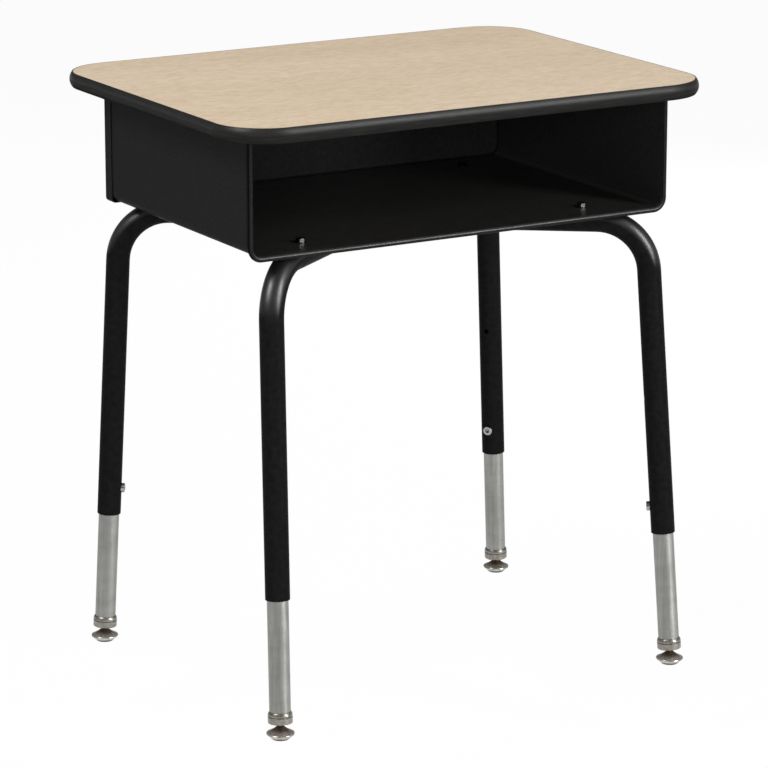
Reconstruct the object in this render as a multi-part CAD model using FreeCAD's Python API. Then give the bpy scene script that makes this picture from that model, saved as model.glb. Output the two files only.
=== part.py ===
import FreeCAD, Part
import math
import os

V = FreeCAD.Vector

# All sizes are in millimetres. The writer sits on the -Y side, +X is to the writer's right and +Z is up.

# Tabletop
top_width = 609.6
top_depth = 457.2
top_height = 679.5
top_corner_radius = 62.5
laminate_thickness = 0.8
laminate_bevel = 0.4
core_thickness = 15.4
backing_thickness = 0.7

# Edge band pressed into a groove around the board
band_bulge = 4.0
band_lip = 0.8
band_tongue_depth = 8.0
band_tongue_thickness = 2.4
groove_side_clearance = 0.1
groove_depth_clearance = 0.5

# Book box of folded sheet steel, open at the front
box_height = 132.4
box_side_setback = 41.5
box_front_setback = 49.7
box_rear_setback = 52.5
sheet_thickness = 1.0
box_corner_radius = 11.0
box_fold_radius = 2.5
box_top_flange = 18.0
front_bead_radius = 3.1
front_bead_proud = 5.3
front_bead_top_gap = 1.0
back_flange = 17.0
back_corner_radius = 4.0
back_top_flange = 18.0
back_fold_radius = 2.0
back_flange_end_gap = 2.0

# Screws that hold the box to the board
board_screw_radius = 2.0
board_screw_bite = 12.0
board_screw_head_radius = 4.2
board_screw_head_height = 2.6
board_screw_head_rim = 1.0
board_screw_hole_clearance = 0.3
board_screw_inset = 9.0
board_screw_end_distance = 38.0
back_screw_half_spacing = 130.0
recess_width = 1.1
recess_length = 4.4
recess_depth = 1.5

# Leg frame of bent round tube: two bows on the diagonals under the box
tube_radius = 13.7
tube_wall = 1.5
tube_end_rounding = 0.5
bend_radius = 60.5
front_corner_from_side = 21.0
front_corner_from_front = 1.8
rear_corner_from_side = 16.5
rear_corner_from_rear = 1.0
front_foot_outward = 14.3
front_foot_forward = 41.6
rear_foot_outward = 24.0
rear_foot_backward = 10.4

# Screws through the floor of the box into the tubes
frame_screw_radius = 2.8
frame_screw_hole_clearance = 0.3
frame_screw_from_corner = 74.5
frame_screw_length = 14.0
frame_screw_point = 1.6
frame_screw_across_flats = 9.5
frame_screw_head_height = 4.8
frame_screw_head_chamfer = 0.8
frame_screw_flange_radius = 6.6
frame_screw_flange_height = 1.1

# Sliding leg inserts and the screws that lock them
insert_wall = 1.2
slide_clearance = 0.3
insert_exposed = 125.1
insert_inside = 150.0
lock_screw_radius = 3.0
lock_screw_from_end = 31.5
lock_screw_head_radius = 5.5
lock_screw_head_height = 3.8
lock_screw_head_edge = 0.6
lock_screw_socket_across = 5.0
lock_screw_socket_depth = 2.6
lock_screw_socket_point = 1.4
lock_screw_tip_gap = 0.3
spare_hole_radius = 3.1
spare_hole_from_end = 158.0

# Foot caps on the inserts
cap_radius = 13.7
cap_height = 13.0
cap_floor = 2.0
cap_band_height = 7.3
cap_groove_height = 1.1
cap_groove_depth = 0.6
cap_edge = 1.2
cap_shoulder_bulge = 0.5
cap_mouth_edge = 0.4
cap_above_ball = 7.7

# Swivel glides
ball_height = 10.0
ball_radius = 4.6
ball_clearance = 0.3
stud_neck_radius = 2.3
stud_collar_radius = 3.8
stud_collar_height = 1.2
stud_shank_radius = 3.0
stud_running_clearance = 0.05
stud_end_play = 0.3
stud_head_radius = 5.2
stud_head_top_radius = 4.2
stud_head_height = 1.6
glide_top_height = 13.8
glide_top_radius = 4.6
glide_opening_radius = 3.7
glide_rim_radius = 15.7
glide_rim_height = 6.0
glide_rim_rounding = 1.5
glide_flank_hollow = 0.5
glide_rim_wall = 2.4
glide_lip_height = 1.0
glide_lip_radius = 10.8
glide_lip_wall = 1.0
pad_radius = 9.6
pad_top_height = 11.4

# Heights and places that follow from the sizes above
top_thickness = laminate_thickness + core_thickness + backing_thickness
top_underside = top_height - top_thickness
core_bottom = top_underside + backing_thickness
board_width = top_width - 2 * band_bulge
board_depth = top_depth - 2 * band_bulge
board_corner = top_corner_radius - band_bulge
box_width = top_width - 2 * box_side_setback
box_front = box_front_setback - top_depth / 2
box_rear = top_depth / 2 - box_rear_setback
box_depth = box_rear - box_front
box_bottom = top_underside - box_height
tube_height = box_bottom - tube_radius
tube_bore = tube_radius - tube_wall
insert_radius = tube_bore - slide_clearance
tube_end = cap_above_ball + cap_height + insert_exposed
front_corner_x = box_width / 2 - front_corner_from_side
front_corner_y = box_front + front_corner_from_front
rear_corner_x = box_width / 2 - rear_corner_from_side
rear_corner_y = box_rear - rear_corner_from_rear
front_foot_x = front_corner_x + front_foot_outward
front_foot_y = front_corner_y - front_foot_forward
rear_foot_x = rear_corner_x + rear_foot_outward
rear_foot_y = rear_corner_y + rear_foot_backward

# The origin stands on the floor under the middle of the overall outline
front_reach = max(top_depth / 2, -front_foot_y + glide_rim_radius)
rear_reach = max(top_depth / 2, rear_foot_y + glide_rim_radius)
outline_shift = (front_reach - rear_reach) / 2

LEGS = {
    "front_left": (-1, "front"),
    "front_right": (1, "front"),
    "rear_left": (-1, "rear"),
    "rear_right": (1, "rear"),
}
OPPOSITE = {
    "front_left": "rear_right",
    "front_right": "rear_left",
    "rear_left": "front_right",
    "rear_right": "front_left",
}


def foot_point(leg):
    """Centre of the glide's ball."""
    side, end = LEGS[leg]
    if end == "front":
        return V(side * front_foot_x, front_foot_y, ball_height)
    return V(side * rear_foot_x, rear_foot_y, ball_height)


def corner_point(leg):
    """Where the leg's centre line meets the level centre line under the box."""
    side, end = LEGS[leg]
    if end == "front":
        return V(side * front_corner_x, front_corner_y, tube_height)
    return V(side * rear_corner_x, rear_corner_y, tube_height)


def leg_direction(leg):
    """Unit vector up the leg."""
    return (corner_point(leg) - foot_point(leg)).normalize()


def inward_direction(leg):
    """Unit vector square to the leg, towards the opposite leg of the same bow."""
    along = (corner_point(OPPOSITE[leg]) - corner_point(leg)).normalize()
    upward = leg_direction(leg)
    return (along - upward * along.dot(upward)).normalize()


def stand_on_leg(shape, leg, distance=0.0):
    """Turns a shape made upright at the origin onto the leg's centre line."""
    placed = shape.copy()
    place = foot_point(leg) + leg_direction(leg) * distance
    placed.Placement = FreeCAD.Placement(place, FreeCAD.Rotation(V(0, 0, 1), leg_direction(leg)))
    return placed


def turned(start, steps):
    """Solid turned about the upright axis. A step is a straight (r, z) or an arc (middle r, z, end r, z)."""
    here = V(start[0], 0, start[1])
    first = here
    edges = []
    for step in steps:
        there = V(step[-2], 0, step[-1])
        if len(step) == 2:
            edges.append(Part.makeLine(here, there))
        else:
            edges.append(Part.Arc(here, V(step[0], 0, step[1]), there).toShape())
        here = there
    edges.append(Part.makeLine(here, first))
    return Part.Face(Part.Wire(edges)).revolve(V(0, 0, 0), V(0, 0, 1), 360)


def rounded_path(points, radius):
    """Wire through the points with an arc of this radius at every inner corner."""
    edges = []
    start = points[0]
    for before, corner, after in zip(points, points[1:], points[2:]):
        back = (before - corner).normalize()
        onward = (after - corner).normalize()
        half_angle = back.getAngle(onward) / 2
        reach = radius / math.tan(half_angle)
        bisector = (back + onward).normalize()
        middle = corner + bisector * (radius / math.sin(half_angle) - radius)
        first = corner + back * reach
        last = corner + onward * reach
        edges.append(Part.makeLine(start, first))
        edges.append(Part.Arc(first, middle, last).toShape())
        start = last
    edges.append(Part.makeLine(start, points[-1]))
    return Part.Wire(edges)


def round_bar(path, radius):
    """Solid round bar along a path."""
    start = path.Edges[0]
    ring = Part.makeCircle(radius, start.valueAt(start.FirstParameter), start.tangentAt(start.FirstParameter))
    return path.makePipeShell([Part.Wire(ring)], True, False)


def hexagon_bar(across_flats, height):
    """Upright six-sided bar standing on the origin."""
    corner_reach = across_flats / math.sqrt(3)
    angles = [math.radians(60 * step) for step in range(7)]
    points = [V(corner_reach * math.cos(angle), corner_reach * math.sin(angle), 0) for angle in angles]
    return Part.Face(Part.makePolygon(points)).extrude(V(0, 0, height))


def edges_along(shape, direction):
    """Straight edges of a shape that run along this direction."""
    found = []
    for edge in shape.Edges:
        if abs(edge.tangentAt(edge.FirstParameter).dot(direction)) > 0.999:
            found.append(edge)
    return found


# Tabletop


def rounded_plate(width, depth, radius, bottom, thickness):
    """Level plate with four rounded corners, centred on the tabletop."""
    plate = Part.makeBox(width, depth, thickness, V(-width / 2, -depth / 2, bottom))
    return plate.makeFillet(radius, edges_along(plate, V(0, 0, 1)))


def tabletop_laminate():
    plate = rounded_plate(board_width, board_depth, board_corner, top_height - laminate_thickness, laminate_thickness)
    rim = [edge for edge in plate.Edges if edge.BoundBox.ZMin > top_height - laminate_thickness / 2]
    return plate.makeChamfer(laminate_bevel, rim)


def board_screw_places():
    """Where the screws go up into the board, and along which flange."""
    places = []
    for side in (-1, 1):
        across = side * (box_width / 2 - board_screw_inset)
        middle = (box_front + box_rear) / 2
        for along in (box_front + board_screw_end_distance, middle, box_rear - board_screw_end_distance):
            places.append(V(across, along, top_underside))
        places.append(V(side * back_screw_half_spacing, box_rear - board_screw_inset, top_underside))
    return places


def cut_board_screw_holes(shape, radius):
    """Upright holes for the board screws through whatever they pass."""
    holes = []
    for place in board_screw_places():
        start = place - V(0, 0, sheet_thickness)
        holes.append(Part.makeCylinder(radius, sheet_thickness + board_screw_bite, start))
    return shape.cut(holes)


def tabletop_core():
    plate = rounded_plate(board_width, board_depth, board_corner, core_bottom, core_thickness)
    depth = band_tongue_depth + groove_depth_clearance
    height = band_tongue_thickness + 2 * groove_side_clearance
    bottom = top_height - top_thickness / 2 - height / 2
    outer = rounded_plate(board_width, board_depth, board_corner, bottom, height)
    inner = rounded_plate(board_width - 2 * depth, board_depth - 2 * depth, board_corner - depth, bottom, height)
    return cut_board_screw_holes(plate.cut(outer.cut(inner)), board_screw_radius)


def tabletop_backing():
    plate = rounded_plate(board_width, board_depth, board_corner, top_underside, backing_thickness)
    return cut_board_screw_holes(plate, board_screw_radius)


def band_section(place, outward):
    """Section of the edge band: a swelling head over the board's edge and a tongue into its groove."""
    middle = top_height - top_thickness / 2
    half_tongue = band_tongue_thickness / 2

    def at(out, height):
        return V(place.x, place.y, height) + outward * out

    edges = [
        Part.makeLine(at(0, top_underside), at(band_lip, top_underside)),
        Part.Arc(at(band_lip, top_underside), at(band_bulge, middle), at(band_lip, top_height)).toShape(),
    ]
    corners = [
        at(band_lip, top_height),
        at(0, top_height),
        at(0, middle + half_tongue),
        at(-band_tongue_depth, middle + half_tongue),
        at(-band_tongue_depth, middle - half_tongue),
        at(0, middle - half_tongue),
        at(0, top_underside),
    ]
    for here, there in zip(corners, corners[1:]):
        edges.append(Part.makeLine(here, there))
    return Part.Face(Part.Wire(edges))


def tabletop_edge_band():
    across = board_width / 2 - board_corner
    along = board_depth / 2 - board_corner
    front = band_section(V(-across, -board_depth / 2, 0), V(0, -1, 0)).extrude(V(2 * across, 0, 0))
    right = band_section(V(board_width / 2, -along, 0), V(1, 0, 0)).extrude(V(0, 2 * along, 0))
    turn = band_section(V(across, -board_depth / 2, 0), V(0, -1, 0))
    front_corner = turn.revolve(V(across, -along, 0), V(0, 0, 1), 90)
    turn = band_section(V(board_width / 2, along, 0), V(1, 0, 0))
    rear_corner = turn.revolve(V(across, along, 0), V(0, 0, 1), 90)
    pieces = [front, front_corner, right, rear_corner]
    for piece in list(pieces):
        other = piece.copy()
        other.rotate(V(0, 0, 0), V(0, 0, 1), 180)
        pieces.append(other)
    return pieces[0].fuse(pieces[1:]).removeSplitter()


# Book box


def channel_block(width, front, rear, bottom, top, low_radius, high_radius):
    """Solid block with its long lower and upper edges rounded."""
    block = Part.makeBox(width, rear - front, top - bottom, V(-width / 2, front, bottom))
    middle = (bottom + top) / 2
    low = [edge for edge in edges_along(block, V(0, 1, 0)) if edge.BoundBox.ZMax < middle]
    block = block.makeFillet(low_radius, low)
    if high_radius > 0:
        high = [edge for edge in edges_along(block, V(0, 1, 0)) if edge.BoundBox.ZMin > top - high_radius]
        block = block.makeFillet(high_radius, high)
    return block


def frame_screw_places():
    """Where the screws pass the underside of the box."""
    places = []
    for leg in LEGS:
        along = (corner_point(OPPOSITE[leg]) - corner_point(leg)).normalize()
        place = corner_point(leg) + along * frame_screw_from_corner
        places.append(V(place.x, place.y, box_bottom))
    return places


def book_box_pan():
    sheet = sheet_thickness
    start = box_front + front_bead_radius
    stop = box_rear - sheet
    outer = channel_block(box_width, start, stop, box_bottom, top_underside, box_corner_radius, box_fold_radius)
    inner = channel_block(
        box_width - 2 * sheet, start, stop, box_bottom + sheet, top_underside - sheet,
        box_corner_radius - sheet, box_fold_radius - sheet,
    )
    mouth_width = box_width - 2 * box_top_flange
    mouth = Part.makeBox(mouth_width, box_depth, box_height / 2, V(-mouth_width / 2, box_front, top_underside - box_height / 2))
    pan = outer.cut([inner, mouth])
    offset = front_bead_proud - front_bead_radius
    half = box_width / 2 + offset
    top = top_underside - front_bead_top_gap
    bottom = box_bottom - offset
    points = [V(-half, start, top), V(-half, start, bottom), V(half, start, bottom), V(half, start, top)]
    path = rounded_path(points, box_corner_radius + offset)
    pan = pan.fuse(round_bar(path, front_bead_radius))
    pan = pan.cut(round_bar(path, front_bead_radius - sheet))
    holes = []
    for place in frame_screw_places():
        holes.append(Part.makeCylinder(frame_screw_radius + frame_screw_hole_clearance, sheet, place))
    return cut_board_screw_holes(pan.cut(holes), board_screw_radius + board_screw_hole_clearance)


def book_box_back():
    sheet = sheet_thickness
    start = box_rear - back_flange
    outer = channel_block(
        box_width + 2 * sheet, start, box_rear, box_bottom - sheet, top_underside,
        back_corner_radius + sheet, 0,
    )
    rear_edges = []
    for edge in outer.Edges:
        on_rear = edge.BoundBox.YMin > box_rear - sheet / 2
        if on_rear and edge.BoundBox.ZMin < top_underside - sheet / 2:
            rear_edges.append(edge)
    outer = outer.makeFillet(back_fold_radius, rear_edges)
    inner = channel_block(box_width, start, box_rear - sheet, box_bottom, top_underside, back_corner_radius, 0)
    half = box_width / 2 - box_top_flange - back_flange_end_gap
    flange_start = box_rear - back_top_flange
    flange = Part.makeBox(2 * half, back_top_flange - sheet, sheet, V(-half, flange_start, top_underside - sheet))
    back = outer.cut(inner).fuse(flange).removeSplitter()
    return cut_board_screw_holes(back, board_screw_radius + board_screw_hole_clearance)


def board_screw():
    """Pan-head screw, standing point up with its head's seat at the origin."""
    crown = board_screw_head_height - board_screw_head_rim
    dome = (board_screw_head_radius ** 2 + crown ** 2) / (2 * crown)
    half = board_screw_head_radius / 2
    shoulder = board_screw_head_height - dome + math.sqrt(dome ** 2 - half ** 2)
    body = turned((0, -board_screw_head_height), [
        (half, -shoulder, board_screw_head_radius, -board_screw_head_rim),
        (board_screw_head_radius, 0),
        (board_screw_radius, 0),
        (board_screw_radius, sheet_thickness + board_screw_bite - board_screw_radius),
        (0, sheet_thickness + board_screw_bite),
    ])
    for width, depth in ((recess_length, recess_width), (recess_width, recess_length)):
        slot = Part.makeBox(width, depth, recess_depth, V(-width / 2, -depth / 2, -board_screw_head_height))
        body = body.cut(slot)
    return body


def tabletop_screws():
    screws = []
    for place in board_screw_places():
        screw = board_screw()
        screw.translate(place - V(0, 0, sheet_thickness))
        screws.append(screw)
    return Part.makeCompound(screws)


# Leg frame


def bow_path(leg):
    """Centre line of one bow, from the end of this leg's tube to the end of the opposite leg's tube."""
    far = OPPOSITE[leg]
    points = [
        foot_point(leg) + leg_direction(leg) * tube_end,
        corner_point(leg),
        corner_point(far),
        foot_point(far) + leg_direction(far) * tube_end,
    ]
    return rounded_path(points, bend_radius)


def leg_hole(leg, distance, radius):
    """Cylinder through the inward wall of a leg's tube."""
    place = foot_point(leg) + leg_direction(leg) * distance
    return Part.makeCylinder(radius, 2 * tube_radius, place, inward_direction(leg))


def bow_tube(leg):
    """Bent tube with its holes for the frame screws, the lock screws and the spare holes."""
    path = bow_path(leg)
    bar = round_bar(path, tube_radius)
    ends = [foot_point(end) + leg_direction(end) * tube_end for end in (leg, OPPOSITE[leg])]
    rims = []
    for edge in bar.Edges:
        on_end = min(abs(edge.CenterOfMass.distanceToPoint(end)) for end in ends)
        if on_end < tube_radius and edge.BoundBox.DiagonalLength < 3 * tube_radius:
            rims.append(edge)
    tube = bar.makeFillet(tube_end_rounding, rims).cut(round_bar(path, tube_bore))
    cutters = []
    for end in (leg, OPPOSITE[leg]):
        cutters.append(leg_hole(end, tube_end + lock_screw_from_end, lock_screw_radius))
        cutters.append(leg_hole(end, tube_end + spare_hole_from_end, spare_hole_radius))
    for place in frame_screw_places():
        start = place - V(0, 0, tube_radius)
        cutters.append(Part.makeCylinder(frame_screw_radius, tube_radius, start))
    return tube.cut(cutters)


def leg_frame_halves():
    """The second bow, parted where it is coped to the sides of the first."""
    crossing = round_bar(bow_path("front_left"), tube_radius)
    halves = bow_tube("front_right").cut(crossing).Solids
    return sorted(halves, key=lambda half: half.CenterOfMass.x)


def frame_screw():
    """Hexagon screw with a flange, standing on its head's seat at the origin, point down."""
    corner_reach = frame_screw_across_flats / math.sqrt(3)
    crown = turned((0, 0), [
        (corner_reach, 0),
        (corner_reach, frame_screw_head_height - frame_screw_head_chamfer),
        (frame_screw_across_flats / 2, frame_screw_head_height),
        (0, frame_screw_head_height),
    ])
    head = hexagon_bar(frame_screw_across_flats, frame_screw_head_height).common(crown)
    shank = turned((0, -frame_screw_length), [
        (frame_screw_radius - frame_screw_point, -frame_screw_length),
        (frame_screw_radius, frame_screw_point - frame_screw_length),
        (frame_screw_radius, 0),
        (frame_screw_flange_radius, 0),
        (frame_screw_flange_radius, frame_screw_flange_height),
        (0, frame_screw_flange_height),
    ])
    return head.fuse(shank)


def frame_screws():
    screws = []
    for place in frame_screw_places():
        screw = frame_screw()
        screw.translate(place + V(0, 0, sheet_thickness))
        screws.append(screw)
    return Part.makeCompound(screws)


# Sliding legs


def leg_lock_screws():
    tip = insert_radius + lock_screw_tip_gap
    seat = tube_radius
    top = seat + lock_screw_head_height
    screws = []
    for leg in LEGS:
        screw = turned((0, tip), [
            (lock_screw_radius, tip),
            (lock_screw_radius, seat),
            (lock_screw_head_radius, seat),
            (lock_screw_head_radius, top - lock_screw_head_edge),
            (lock_screw_head_radius - lock_screw_head_edge, top),
            (0, top),
        ])
        socket = hexagon_bar(lock_screw_socket_across, lock_screw_socket_depth)
        point = Part.makeCone(0, lock_screw_socket_across / 2, lock_screw_socket_point)
        point.translate(V(0, 0, -lock_screw_socket_point))
        socket = socket.fuse(point)
        socket.translate(V(0, 0, top - lock_screw_socket_depth))
        screw = screw.cut(socket)
        place = foot_point(leg) + leg_direction(leg) * (tube_end + lock_screw_from_end)
        screw.Placement = FreeCAD.Placement(place, FreeCAD.Rotation(V(0, 0, 1), inward_direction(leg)))
        screws.append(screw)
    return Part.makeCompound(screws)


def leg_insert(leg):
    bottom = cap_above_ball + cap_floor
    length = tube_end + insert_inside - bottom
    tube = Part.makeCylinder(insert_radius, length, V(0, 0, bottom))
    tube = tube.cut(Part.makeCylinder(insert_radius - insert_wall, length, V(0, 0, bottom)))
    return stand_on_leg(tube, leg)


def foot_cap(leg):
    bottom = cap_above_ball
    top = bottom + cap_height
    band_top = bottom + cap_band_height
    shoulder = band_top + cap_groove_height
    groove_radius = cap_radius - cap_groove_depth
    mouth = insert_radius + cap_mouth_edge
    corner = cap_edge * (1 - math.sqrt(0.5))
    cap = turned((stud_shank_radius + stud_running_clearance, bottom), [
        (cap_radius - cap_edge, bottom),
        (cap_radius - corner, bottom + corner, cap_radius, bottom + cap_edge),
        (cap_radius, band_top),
        (groove_radius, band_top + cap_groove_height / 2, cap_radius, shoulder),
        ((cap_radius + mouth) / 2 + cap_shoulder_bulge, (shoulder + top) / 2, mouth, top),
        (insert_radius, top),
        (insert_radius, bottom + cap_floor),
        (stud_shank_radius + stud_running_clearance, bottom + cap_floor),
    ])
    return stand_on_leg(cap, leg)


# Swivel glides


def glide_stud(leg):
    seat = cap_above_ball - stud_end_play
    head = cap_above_ball + cap_floor + stud_end_play
    stem = turned((0, 0), [
        (stud_neck_radius, 0),
        (stud_neck_radius, seat - stud_collar_height),
        (stud_collar_radius, seat - stud_collar_height),
        (stud_collar_radius, seat),
        (stud_shank_radius, seat),
        (stud_shank_radius, head),
        (stud_head_radius, head),
        (stud_head_top_radius, head + stud_head_height),
        (0, head + stud_head_height),
    ])
    return stand_on_leg(stem.fuse(Part.makeSphere(ball_radius)), leg)


def glide_place(leg):
    foot = foot_point(leg)
    return V(foot.x, foot.y, 0)


def glide_shell(leg):
    rounding = glide_rim_rounding
    flank_radius = (glide_top_radius + glide_rim_radius - rounding) / 2
    flank_height = (glide_top_height + glide_rim_height + rounding) / 2 - glide_flank_hollow
    shell = turned((glide_opening_radius, glide_top_height), [
        (glide_top_radius, glide_top_height),
        (flank_radius, flank_height, glide_rim_radius - rounding, glide_rim_height + rounding),
        (glide_rim_radius, glide_rim_height, glide_rim_radius - rounding, glide_rim_height - rounding),
        (glide_lip_radius, glide_lip_height),
        (glide_lip_radius - glide_lip_wall, glide_lip_height),
        (glide_rim_radius - glide_rim_wall, glide_rim_height),
    ])
    shell.translate(glide_place(leg))
    return shell


def glide_pad(leg):
    rise = (pad_top_height - glide_rim_height) / (glide_top_height - glide_rim_height)
    inner_rim = glide_rim_radius - glide_rim_wall
    shoulder = inner_rim + (glide_opening_radius - inner_rim) * rise
    pad = turned((0, 0), [
        (pad_radius, 0),
        (pad_radius, glide_lip_height),
        (glide_lip_radius - glide_lip_wall, glide_lip_height),
        (inner_rim, glide_rim_height),
        (shoulder, pad_top_height),
        (0, pad_top_height),
    ])
    pad = pad.cut(Part.makeSphere(ball_radius + ball_clearance, V(0, 0, ball_height)))
    pad.translate(glide_place(leg))
    return pad


def save(name, shape):
    """Moves a finished piece to the origin under the middle of the outline and writes it."""
    moved = shape.copy()
    moved.translate(V(0, outline_shift, 0))
    moved.exportStep("parts/" + name + ".step")


os.makedirs("parts", exist_ok=True)
save("tabletop_laminate", tabletop_laminate())
save("tabletop_core", tabletop_core())
save("tabletop_backing", tabletop_backing())
save("tabletop_edge_band", tabletop_edge_band())
save("tabletop_screws", tabletop_screws())
save("book_box_pan", book_box_pan())
save("book_box_back", book_box_back())
save("leg_frame_bow", bow_tube("front_left"))
rear_half, front_half = leg_frame_halves()
save("leg_frame_half_rear_left", rear_half)
save("leg_frame_half_front_right", front_half)
save("frame_screws", frame_screws())
save("leg_lock_screws", leg_lock_screws())
for leg in LEGS:
    save("leg_insert_" + leg, leg_insert(leg))
    save("foot_cap_" + leg, foot_cap(leg))
    save("glide_stud_" + leg, glide_stud(leg))
    save("glide_shell_" + leg, glide_shell(leg))
    save("glide_pad_" + leg, glide_pad(leg))
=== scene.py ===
import math

import bpy
from mathutils import Matrix, Vector


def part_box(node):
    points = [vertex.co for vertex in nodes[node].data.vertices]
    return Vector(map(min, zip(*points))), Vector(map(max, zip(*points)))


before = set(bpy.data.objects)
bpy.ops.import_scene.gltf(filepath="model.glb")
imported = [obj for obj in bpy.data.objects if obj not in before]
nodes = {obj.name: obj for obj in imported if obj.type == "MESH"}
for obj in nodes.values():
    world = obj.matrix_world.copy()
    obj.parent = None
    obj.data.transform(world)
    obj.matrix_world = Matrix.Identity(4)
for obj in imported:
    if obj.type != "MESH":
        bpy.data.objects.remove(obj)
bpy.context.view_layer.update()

LEGS = ("front_left", "front_right", "rear_left", "rear_right")

WHITE = (1.0, 1.0, 1.0, 1.0)

# Most of a noise's values lie between these
NOISE_MIDDLE = (0.3, 0.7)

# Places on the desk that its finishes follow, in metres

# How far the painted shade in a fold of the box, and in a groove of a foot cap, darkens what is
# near it
BOX_CREASE = 0.004
CAP_CREASE = 0.0025
# Depth, from the box's front edge, that the shade behind the rolled edge is drawn on
BEAD_SHADE_DEPTH = 0.03
# The side's sheet lies 5.3 to 6.3 mm in from the rolled edge's reach, and its outer face is told
# from its inner one between these two
SIDE_SHEET_INNER = 0.0060
SIDE_SHEET_OUTER = 0.0056
# Heights between which the frame's tubes go from dull to glossy
TUBE_GLOSS_START = 0.40
TUBE_GLOSS_END = 0.48
# Heights on a glide: its painted shade towards the floor ends over the first two, its painted
# reflection of the cap begins over the others
GLIDE_FLOOR_SHADE_START = 0.0018
GLIDE_FLOOR_SHADE_END = 0.0038
GLIDE_NECK_START = 0.0070
GLIDE_NECK_END = 0.0116

# The stage, in metres and degrees

FLOOR_SIZE = 60.0
FLOOR_LEVEL = -0.093
FLOOR_COLOUR = (0.78, 0.78, 0.78, 1.0)
# How much of the floor's look is plain white, the rest being shadow
FLOOR_GLOW = 0.95
# Strength of the white room on the desk, and in its glossy surfaces
ROOM_LIGHT = 0.27
ROOM_IN_GLOSS = 0.18

CAMERA_AZIMUTH = -30.2
CAMERA_ELEVATION = 14.67
CAMERA_DISTANCE = 4.62705
CAMERA_LENS = 185.0
CAMERA_SENSOR = 36.0
CAMERA_SIGHT = 100.0
# The point that the camera looks at: a place under the desk, moved across and up the picture
AIM_PLACE = (0.0, 0.0029, 0.0)
AIM_ACROSS = 0.00143
AIM_UP = 0.30713


# Small helpers for building finishes from nodes


def shade(red, green, blue):
    """Linear colour of a screen colour given as 0 to 255."""
    linear = []
    for value in (red, green, blue):
        value = value / 255
        linear.append(value / 12.92 if value <= 0.04045 else ((value + 0.055) / 1.055) ** 2.4)
    return (*linear, 1.0)


def grey(level):
    """Linear colour of a grey given as 0 to 255."""
    return shade(level, level, level)


def even(scale):
    """The same stretch along all three axes."""
    return (scale, scale, scale)


def feed(tree, socket, value):
    """Sets a socket to a number or a colour, or links another node's output to it."""
    if isinstance(value, bpy.types.NodeSocket):
        tree.links.new(value, socket)
    else:
        socket.default_value = value


def start_finish(name, roughness, specular=0.5, metallic=0.0):
    """New material with its Principled shader.

    A level that a finish links to nodes keeps its number here for what can't read the nodes.
    """
    finish = bpy.data.materials.new(name)
    finish.use_nodes = True
    tree = finish.node_tree
    shader = tree.nodes["Principled BSDF"]
    shader.inputs["Roughness"].default_value = roughness
    shader.inputs["Specular IOR Level"].default_value = specular
    shader.inputs["Metallic"].default_value = metallic
    return finish, tree, shader


def surface_place(tree, stretch):
    """Place on the piece in metres, stretched along each axis."""
    where = tree.nodes.new("ShaderNodeTexCoord")
    mapping = tree.nodes.new("ShaderNodeMapping")
    mapping.inputs["Scale"].default_value = stretch
    tree.links.new(where.outputs["Object"], mapping.inputs["Vector"])
    return mapping.outputs["Vector"]


def surface_parts(tree):
    """X, Y and Z of a place on the piece, in metres."""
    where = tree.nodes.new("ShaderNodeTexCoord")
    parts = tree.nodes.new("ShaderNodeSeparateXYZ")
    tree.links.new(where.outputs["Object"], parts.inputs["Vector"])
    return parts.outputs


def mottle(tree, stretch, detail=4.0, rough=0.5, warp=0.0):
    """Cloudy noise whose grains have the sizes that the stretch gives."""
    noise = tree.nodes.new("ShaderNodeTexNoise")
    noise.inputs["Scale"].default_value = 1.0
    noise.inputs["Detail"].default_value = detail
    noise.inputs["Roughness"].default_value = rough
    noise.inputs["Distortion"].default_value = warp
    tree.links.new(surface_place(tree, stretch), noise.inputs["Vector"])
    return noise.outputs["Fac"]


def ramp(tree, value, stops):
    """Colour ramp over a value, from (position, colour) stops."""
    node = tree.nodes.new("ShaderNodeValToRGB")
    while len(node.color_ramp.elements) < len(stops):
        node.color_ramp.elements.new(0.5)
    for element, (position, colour) in zip(node.color_ramp.elements, stops):
        element.position = position
        element.color = colour
    tree.links.new(value, node.inputs["Fac"])
    return node.outputs["Color"]


def remap(tree, value, start, end, low=0.0, high=1.0, way="LINEAR"):
    """Value that goes from low to high while another goes from start to end."""
    node = tree.nodes.new("ShaderNodeMapRange")
    node.interpolation_type = way
    node.inputs["From Min"].default_value = start
    node.inputs["From Max"].default_value = end
    node.inputs["To Min"].default_value = low
    node.inputs["To Max"].default_value = high
    tree.links.new(value, node.inputs["Value"])
    return node.outputs["Result"]


def reckon(tree, operation, *values):
    """Result of a sum on one or two values, each a number or a node's output."""
    node = tree.nodes.new("ShaderNodeMath")
    node.operation = operation
    for socket, value in zip(node.inputs, values):
        feed(tree, socket, value)
    return node.outputs["Value"]


def blend_colours(tree, amount, under, over, way="MIX"):
    """Lays one colour over another by an amount, a number or a node's output."""
    node = tree.nodes.new("ShaderNodeMix")
    node.data_type = "RGBA"
    node.blend_type = way
    feed(tree, node.inputs[0], amount)
    feed(tree, node.inputs[6], under)
    feed(tree, node.inputs[7], over)
    return node.outputs[2]


def upward(tree, low, high, start=0.05, end=0.3):
    """Value that goes from low to high as the surface turns to face up."""
    facing = tree.nodes.new("ShaderNodeNewGeometry")
    parts = tree.nodes.new("ShaderNodeSeparateXYZ")
    tree.links.new(facing.outputs["Normal"], parts.inputs["Vector"])
    return remap(tree, parts.outputs["Z"], start, end, low, high, way="SMOOTHSTEP")


def above(tree, start, end):
    """Value that goes from 0 to 1 between two heights on the piece."""
    return remap(tree, surface_parts(tree)["Z"], start, end, way="SMOOTHSTEP")


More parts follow.
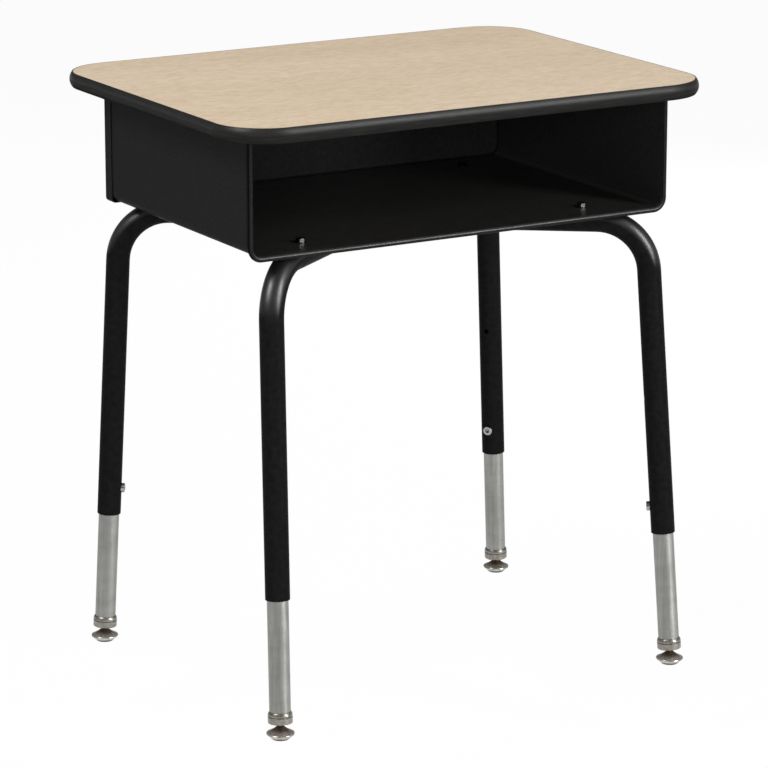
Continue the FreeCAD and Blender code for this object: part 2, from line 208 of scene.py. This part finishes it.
def crease_shade(tree, reach, stops):
    """Colour ramp over how open a place is: painted shade, dark in the creases within reach."""
    node = tree.nodes.new("ShaderNodeAmbientOcclusion")
    node.samples = 8
    node.inputs["Distance"].default_value = reach
    return ramp(tree, node.outputs["AO"], stops)


def vary_roughness(tree, shader, noise, low, high):
    """Lets a noise take a shader's roughness from low to high."""
    tree.links.new(remap(tree, noise, *NOISE_MIDDLE, low, high), shader.inputs["Roughness"])


def roughen(tree, shader, height, strength, distance):
    """Adds relief to a shader, on top of any relief it has."""
    bump = tree.nodes.new("ShaderNodeBump")
    bump.inputs["Strength"].default_value = strength
    bump.inputs["Distance"].default_value = distance
    tree.links.new(height, bump.inputs["Height"])
    if shader.inputs["Normal"].is_linked:
        tree.links.new(shader.inputs["Normal"].links[0].from_socket, bump.inputs["Normal"])
    tree.links.new(bump.outputs["Normal"], shader.inputs["Normal"])


def behind_bead(tree, tone):
    """Darkens the box's outside along the line that its rolled front edge hides from the light."""
    parts = surface_parts(tree)
    low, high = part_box("book_box_pan")
    back_from_edge = remap(tree, parts["Y"], low[1], low[1] + BEAD_SHADE_DEPTH)
    line = ramp(tree, back_from_edge, [
        (0.018, WHITE), (0.035, grey(132)), (0.44, grey(105)), (0.56, WHITE),
    ])
    out_from_middle = reckon(tree, "ABSOLUTE", parts["X"])
    outside = remap(tree, out_from_middle, high[0] - SIDE_SHEET_INNER, high[0] - SIDE_SHEET_OUTER)
    return blend_colours(tree, outside, tone, line, way="MULTIPLY")


# Finishes


def maple_laminate():
    """Pale wood-grain print, grained along X, with a brown core at the bevelled edge."""
    finish, tree, shader = start_finish("maple_laminate", 0.45, specular=0.0)
    bands = ramp(tree, mottle(tree, (2.2, 16.0, 1.0), detail=3.0, warp=0.4), [
        (0.3, shade(204, 186, 161)), (0.5, shade(210, 192, 168)), (0.7, shade(215, 198, 175)),
    ])
    streaks = ramp(tree, mottle(tree, (55.0, 170.0, 1.0), detail=5.0, rough=0.62), [
        (0.32, shade(194, 172, 145)), (0.5, shade(210, 192, 169)), (0.68, shade(223, 207, 187)),
    ])
    pores = ramp(tree, mottle(tree, (95.0, 2300.0, 1.0), detail=2.0), [
        (0.36, shade(176, 150, 118)), (0.46, WHITE),
    ])
    grain = blend_colours(tree, 0.42, bands, streaks)
    grain = blend_colours(tree, 0.35, grain, pores, way="MULTIPLY")
    on_top = upward(tree, 0.0, 1.0, start=0.9, end=0.99)
    colour = blend_colours(tree, on_top, shade(96, 70, 48), grain)
    tree.links.new(colour, shader.inputs["Base Color"])
    vary_roughness(tree, shader, mottle(tree, (60.0, 300.0, 60.0)), 0.40, 0.52)
    roughen(tree, shader, mottle(tree, (900.0, 1500.0, 900.0), detail=2.0), 0.10, 0.0002)
    return finish


def pressed_board():
    """Raw board of pressed wood chips."""
    finish, tree, shader = start_finish("pressed_board", 0.85, specular=0.2)
    chips = tree.nodes.new("ShaderNodeTexVoronoi")
    chips.inputs["Scale"].default_value = 420.0
    tree.links.new(surface_place(tree, (1.0, 1.0, 1.6)), chips.inputs["Vector"])
    tone = ramp(tree, chips.outputs["Distance"], [
        (0.0, shade(198, 165, 120)), (0.45, shade(172, 136, 92)), (0.9, shade(120, 88, 55)),
    ])
    stain_and_painted_shade = mottle(tree, even(60.0))
    colour = blend_colours(tree, stain_and_painted_shade, tone, shade(150, 116, 76))
    tree.links.new(colour, shader.inputs["Base Color"])
    roughen(tree, shader, chips.outputs["Distance"], 0.5, 0.0006)
    return finish


def brown_backing():
    """Dull brown balancing sheet with faint paper fibres."""
    finish, tree, shader = start_finish("brown_backing", 0.6, specular=0.3)
    fibres = ramp(tree, mottle(tree, (180.0, 420.0, 180.0), detail=6.0, rough=0.65), [
        (0.3, shade(72, 55, 43)), (0.5, shade(88, 69, 54)), (0.7, shade(103, 83, 66)),
    ])
    tree.links.new(fibres, shader.inputs["Base Color"])
    vary_roughness(tree, shader, mottle(tree, even(90.0)), 0.5, 0.68)
    roughen(tree, shader, mottle(tree, even(700.0), detail=3.0), 0.15, 0.0003)
    return finish


def black_edge_band():
    """Black satin moulding with faint drawn lines along it, glossy above and dull below."""
    finish, tree, shader = start_finish("black_edge_band", 0.44, specular=0.15)
    side_gloss = upward(tree, 0.0, 0.02, start=-0.5, end=0.0)
    top_gloss = upward(tree, 0.0, 0.24, start=0.0, end=0.38)
    gloss = reckon(tree, "ADD", side_gloss, top_gloss)
    tree.links.new(gloss, shader.inputs["Specular IOR Level"])
    tone = ramp(tree, mottle(tree, (35.0, 35.0, 500.0)), [
        (0.3, grey(24)), (0.55, shade(28, 28, 27)), (0.75, shade(35, 35, 34)),
    ])
    tree.links.new(tone, shader.inputs["Base Color"])
    vary_roughness(tree, shader, mottle(tree, (120.0, 120.0, 700.0)), 0.40, 0.48)
    roughen(tree, shader, mottle(tree, (14.0, 14.0, 1400.0), detail=2.0), 0.12, 0.0002)
    roughen(tree, shader, mottle(tree, even(1500.0), detail=2.0), 0.10, 0.0001)
    return finish


def black_box_paint():
    """Black powder coat with a fine grained texture, painted lighter where it faces up as if lit
    from above, with painted shade in its folds.
    """
    finish, tree, shader = start_finish("black_box_paint", 0.38, specular=0.15)
    tree.links.new(upward(tree, 0.006, 0.4), shader.inputs["Specular IOR Level"])
    tone = ramp(tree, mottle(tree, even(300.0)), [
        (0.3, grey(23)), (0.5, grey(27)), (0.75, grey(31)),
    ])
    # Painted light: a lighter grey where the paint faces up, standing in for light from above.
    painted_top_light = ramp(tree, mottle(tree, even(120.0), detail=5.0, rough=0.6), [
        (0.3, grey(34)), (0.5, shade(38, 38, 37)), (0.75, shade(44, 44, 43)),
    ])
    tone = blend_colours(tree, upward(tree, 0.0, 1.0, start=0.5, end=0.9), tone, painted_top_light)
    # Painted shade: the colour is darker in the box's folds and creases.
    creases = crease_shade(tree, BOX_CREASE, [(0.45, grey(90)), (0.85, WHITE)])
    tone = blend_colours(tree, 1.0, tone, creases, way="MULTIPLY")
    tree.links.new(behind_bead(tree, tone), shader.inputs["Base Color"])
    vary_roughness(tree, shader, mottle(tree, even(45.0)), 0.34, 0.42)
    roughen(tree, shader, mottle(tree, even(650.0), detail=3.0), 0.10, 0.0004)
    return finish


def black_tube_paint():
    """Smoother black powder coat with a slight orange peel, glossy on top of the upper bends."""
    finish, tree, shader = start_finish("black_tube_paint", 0.38, specular=0.3)
    on_top = upward(tree, 0.0, 1.0, start=0.1, end=0.4)
    bright = reckon(tree, "MULTIPLY", on_top, above(tree, TUBE_GLOSS_START, TUBE_GLOSS_END))
    gloss = remap(tree, bright, 0.0, 1.0, 0.010, 0.85)
    tree.links.new(gloss, shader.inputs["Specular IOR Level"])
    tone = ramp(tree, mottle(tree, even(160.0)), [
        (0.3, grey(14)), (0.5, grey(17)), (0.75, grey(20)),
    ])
    tree.links.new(tone, shader.inputs["Base Color"])
    vary_roughness(tree, shader, mottle(tree, even(60.0)), 0.34, 0.42)
    roughen(tree, shader, mottle(tree, even(160.0), detail=1.0), 0.02, 0.0003)
    return finish


def zinc_plate():
    """Bright zinc with a cloudy crystal pattern."""
    finish, tree, shader = start_finish("zinc_plate", 0.28, metallic=1.0)
    tone = ramp(tree, mottle(tree, even(700.0)), [
        (0.3, shade(142, 143, 142)), (0.5, shade(166, 166, 162)), (0.7, shade(186, 186, 182)),
    ])
    tree.links.new(tone, shader.inputs["Base Color"])
    vary_roughness(tree, shader, mottle(tree, even(500.0)), 0.20, 0.38)
    roughen(tree, shader, mottle(tree, even(1800.0), detail=2.0), 0.08, 0.0001)
    return finish


def dull_zinc():
    """Zinc gone dark and cloudy."""
    finish, tree, shader = start_finish("dull_zinc", 0.3, metallic=1.0)
    tone = ramp(tree, mottle(tree, even(600.0)), [
        (0.3, shade(66, 66, 65)), (0.5, shade(84, 84, 82)), (0.7, shade(104, 104, 101)),
    ])
    tree.links.new(tone, shader.inputs["Base Color"])
    vary_roughness(tree, shader, mottle(tree, even(500.0)), 0.22, 0.36)
    roughen(tree, shader, mottle(tree, even(1800.0), detail=2.0), 0.08, 0.0001)
    return finish


def satin_nickel():
    """Satin nickel tube with faint drawn streaks along it and rubbed patches."""
    finish, tree, shader = start_finish("satin_nickel", 0.46, metallic=1.0)
    tone = ramp(tree, mottle(tree, (240.0, 240.0, 5.0), detail=3.0, rough=0.6), [
        (0.3, shade(142, 142, 139)), (0.5, shade(154, 154, 151)), (0.7, shade(166, 165, 161)),
    ])
    rubbed = ramp(tree, mottle(tree, (40.0, 40.0, 90.0), detail=5.0), [
        (0.35, shade(212, 211, 207)), (0.6, WHITE),
    ])
    colour = blend_colours(tree, 0.35, tone, rubbed, way="MULTIPLY")
    tree.links.new(colour, shader.inputs["Base Color"])
    vary_roughness(tree, shader, mottle(tree, (220.0, 220.0, 30.0)), 0.42, 0.50)
    roughen(tree, shader, mottle(tree, (700.0, 700.0, 40.0), detail=2.0), 0.04, 0.0001)
    return finish


def cap_nickel():
    """Plated cap with a warm tinge, fine turning lines and painted shade in its creases."""
    finish, tree, shader = start_finish("cap_nickel", 0.36, metallic=0.85)
    tone = ramp(tree, mottle(tree, even(240.0), detail=5.0), [
        (0.3, shade(122, 116, 107)), (0.5, shade(138, 134, 126)), (0.72, shade(154, 150, 143)),
    ])
    # Painted shade: the colour is darker in the cap's groove and creases.
    creases = crease_shade(tree, CAP_CREASE, [(0.5, shade(80, 72, 64)), (0.92, WHITE)])
    colour = blend_colours(tree, 1.0, tone, creases, way="MULTIPLY")
    tree.links.new(colour, shader.inputs["Base Color"])
    vary_roughness(tree, shader, mottle(tree, even(420.0), detail=5.0), 0.30, 0.42)
    roughen(tree, shader, mottle(tree, (160.0, 160.0, 1600.0), detail=3.0), 0.08, 0.0002)
    return finish


def polished_nickel():
    """Polished nickel, dulled by dust where it faces up, with painted reflection of the shaded cap
    round the neck and painted shade towards the floor.
    """
    finish, tree, shader = start_finish("polished_nickel", 0.24, metallic=0.9)
    tone = ramp(tree, mottle(tree, even(240.0), detail=5.0), [
        (0.3, shade(166, 161, 151)), (0.5, shade(186, 182, 174)), (0.72, shade(204, 201, 195)),
    ])
    # Painted shade: dark towards the floor, standing in for the shaded floor that the glide
    # reflects.
    stain_and_painted_shade = ramp(tree, mottle(tree, even(320.0), detail=5.0), [
        (0.3, shade(58, 57, 52)), (0.55, shade(78, 77, 72)), (0.75, shade(104, 102, 97)),
    ])
    # Painted reflection: darker and browner towards the neck, standing in for the shaded cap that
    # the cone reflects.
    painted_cap_reflection = ramp(tree, above(tree, GLIDE_NECK_START, GLIDE_NECK_END), [
        (0.0, WHITE), (1.0, shade(138, 120, 104)),
    ])
    tone = blend_colours(tree, 1.0, tone, painted_cap_reflection, way="MULTIPLY")
    tone = blend_colours(tree, above(tree, GLIDE_FLOOR_SHADE_START, GLIDE_FLOOR_SHADE_END), stain_and_painted_shade, tone)
    tree.links.new(tone, shader.inputs["Base Color"])
    tree.links.new(upward(tree, 1.0, 0.8, start=0.2, end=0.6), shader.inputs["Metallic"])
    vary_roughness(tree, shader, mottle(tree, even(420.0), detail=5.0), 0.18, 0.30)
    roughen(tree, shader, mottle(tree, (160.0, 160.0, 1600.0), detail=3.0), 0.05, 0.0001)
    return finish


def dark_nylon():
    """Dark moulded nylon with a fine grain."""
    finish, tree, shader = start_finish("dark_nylon", 0.5, specular=0.4)
    tone = ramp(tree, mottle(tree, even(500.0)), [
        (0.3, shade(48, 46, 44)), (0.55, shade(58, 56, 53)), (0.75, shade(76, 73, 69)),
    ])
    tree.links.new(tone, shader.inputs["Base Color"])
    vary_roughness(tree, shader, mottle(tree, even(300.0)), 0.42, 0.6)
    roughen(tree, shader, mottle(tree, even(1400.0), detail=3.0), 0.2, 0.0002)
    return finish


def dress(finish, *names):
    """Gives a finish to the desk's own pieces."""
    for name in names:
        nodes[name].data.materials.clear()
        nodes[name].data.materials.append(finish)


# Stage


def pale_floor():
    """Plain white floor that keeps a soft shadow and shows white in the metal too.

    It lies below the feet's lowest reach, so that drawn-out legs show whole.
    """
    bpy.ops.object.select_all(action="DESELECT")
    bpy.ops.mesh.primitive_plane_add(size=FLOOR_SIZE, location=(0.0, 0.0, FLOOR_LEVEL))
    floor = bpy.context.object
    floor.name = "studio_floor"
    finish = bpy.data.materials.new("white_floor")
    finish.use_nodes = True
    tree = finish.node_tree
    tree.nodes.clear()
    matt = tree.nodes.new("ShaderNodeBsdfDiffuse")
    matt.inputs["Color"].default_value = FLOOR_COLOUR
    glow = tree.nodes.new("ShaderNodeEmission")
    glow.inputs["Color"].default_value = WHITE
    glow.inputs["Strength"].default_value = 1.0
    path = tree.nodes.new("ShaderNodeLightPath").outputs
    seen = reckon(tree, "MAXIMUM", path["Is Camera Ray"], path["Is Glossy Ray"])
    seen = reckon(tree, "MAXIMUM", seen, path["Is Transmission Ray"])
    mix = tree.nodes.new("ShaderNodeMixShader")
    tree.links.new(reckon(tree, "MULTIPLY", seen, FLOOR_GLOW), mix.inputs[0])
    tree.links.new(matt.outputs["BSDF"], mix.inputs[1])
    tree.links.new(glow.outputs["Emission"], mix.inputs[2])
    out = tree.nodes.new("ShaderNodeOutputMaterial")
    tree.links.new(mix.outputs["Shader"], out.inputs["Surface"])
    floor.data.materials.append(finish)


def softbox(name, place, aim, width, height, power):
    """Rectangular studio lamp at a place, turned towards a point."""
    lamp = bpy.data.lights.new(name, "AREA")
    lamp.shape = "RECTANGLE"
    lamp.size = width
    lamp.size_y = height
    lamp.energy = power
    holder = bpy.data.objects.new(name, lamp)
    bpy.context.scene.collection.objects.link(holder)
    holder.location = place
    turn = (Vector(aim) - Vector(place)).to_track_quat("-Z", "Y")
    holder.rotation_euler = turn.to_euler()
    return holder


def studio_light():
    """White room with four softboxes, of which the fill and the rear one leave no reflection."""
    world = bpy.data.worlds.new("pale_studio")
    world.use_nodes = True
    bpy.context.scene.world = world
    tree = world.node_tree
    background = tree.nodes["Background"]
    background.inputs["Color"].default_value = WHITE
    path = tree.nodes.new("ShaderNodeLightPath").outputs
    level = remap(tree, path["Is Glossy Ray"], 0.0, 1.0, ROOM_LIGHT, ROOM_IN_GLOSS)
    shown = reckon(tree, "MAXIMUM", level, path["Is Camera Ray"])
    tree.links.new(shown, background.inputs["Strength"])
    softbox("softbox_left", (-2.46, -0.26, 2.8), (-0.2, -0.1, 0.5), 1.25, 1.1, 58.0)
    softbox("softbox_front", (1.56, -2.8, 1.6), (0.0, 0.0, 1.6), 0.75, 2.8, 120.0)
    fill = softbox("softbox_fill", (-2.3, -3.6, 1.15), (0.0, 0.0, 0.58), 2.0, 1.4, 125.0)
    fill.visible_glossy = False
    rear = softbox("softbox_rear", (2.5, 2.0, 1.3), (0.0, 0.0, 0.5), 2.0, 1.6, 60.0)
    rear.visible_glossy = False


def photo_camera():
    """Camera at the photograph's angle, distance and framing."""
    azimuth = math.radians(CAMERA_AZIMUTH)
    elevation = math.radians(CAMERA_ELEVATION)
    right = Vector((math.cos(azimuth), math.sin(azimuth), 0.0))
    back = Vector((
        math.sin(azimuth) * math.cos(elevation),
        -math.cos(azimuth) * math.cos(elevation),
        math.sin(elevation),
    ))
    up = back.cross(right)
    aim = Vector(AIM_PLACE) + right * AIM_ACROSS + up * AIM_UP
    lens = bpy.data.cameras.new("photo_camera")
    lens.sensor_width = CAMERA_SENSOR
    lens.lens = CAMERA_LENS
    lens.clip_end = CAMERA_SIGHT
    camera = bpy.data.objects.new("photo_camera", lens)
    bpy.context.scene.collection.objects.link(camera)
    turn = Matrix((right, up, back)).transposed().to_4x4()
    camera.matrix_world = Matrix.Translation(aim + back * CAMERA_DISTANCE) @ turn
    bpy.context.scene.camera = camera


# The desk's finishes

dress(maple_laminate(), "tabletop_laminate")
dress(pressed_board(), "tabletop_core")
dress(brown_backing(), "tabletop_backing")
dress(black_edge_band(), "tabletop_edge_band")
dress(black_box_paint(), "book_box_pan", "book_box_back")
dress(
    black_tube_paint(),
    "leg_frame_bow", "leg_frame_half_front_right", "leg_frame_half_rear_left",
)
dress(zinc_plate(), "tabletop_screws", "leg_lock_screws")
dress(dull_zinc(), "frame_screws")
dress(satin_nickel(), *["leg_insert_" + leg for leg in LEGS])
dress(cap_nickel(), *["foot_cap_" + leg for leg in LEGS])
polished = polished_nickel()
for leg in LEGS:
    dress(polished, "glide_stud_" + leg, "glide_shell_" + leg)
dress(dark_nylon(), *["glide_pad_" + leg for leg in LEGS])

# The stage

bpy.context.scene.view_settings.view_transform = "Standard"
pale_floor()
studio_light()
photo_camera()
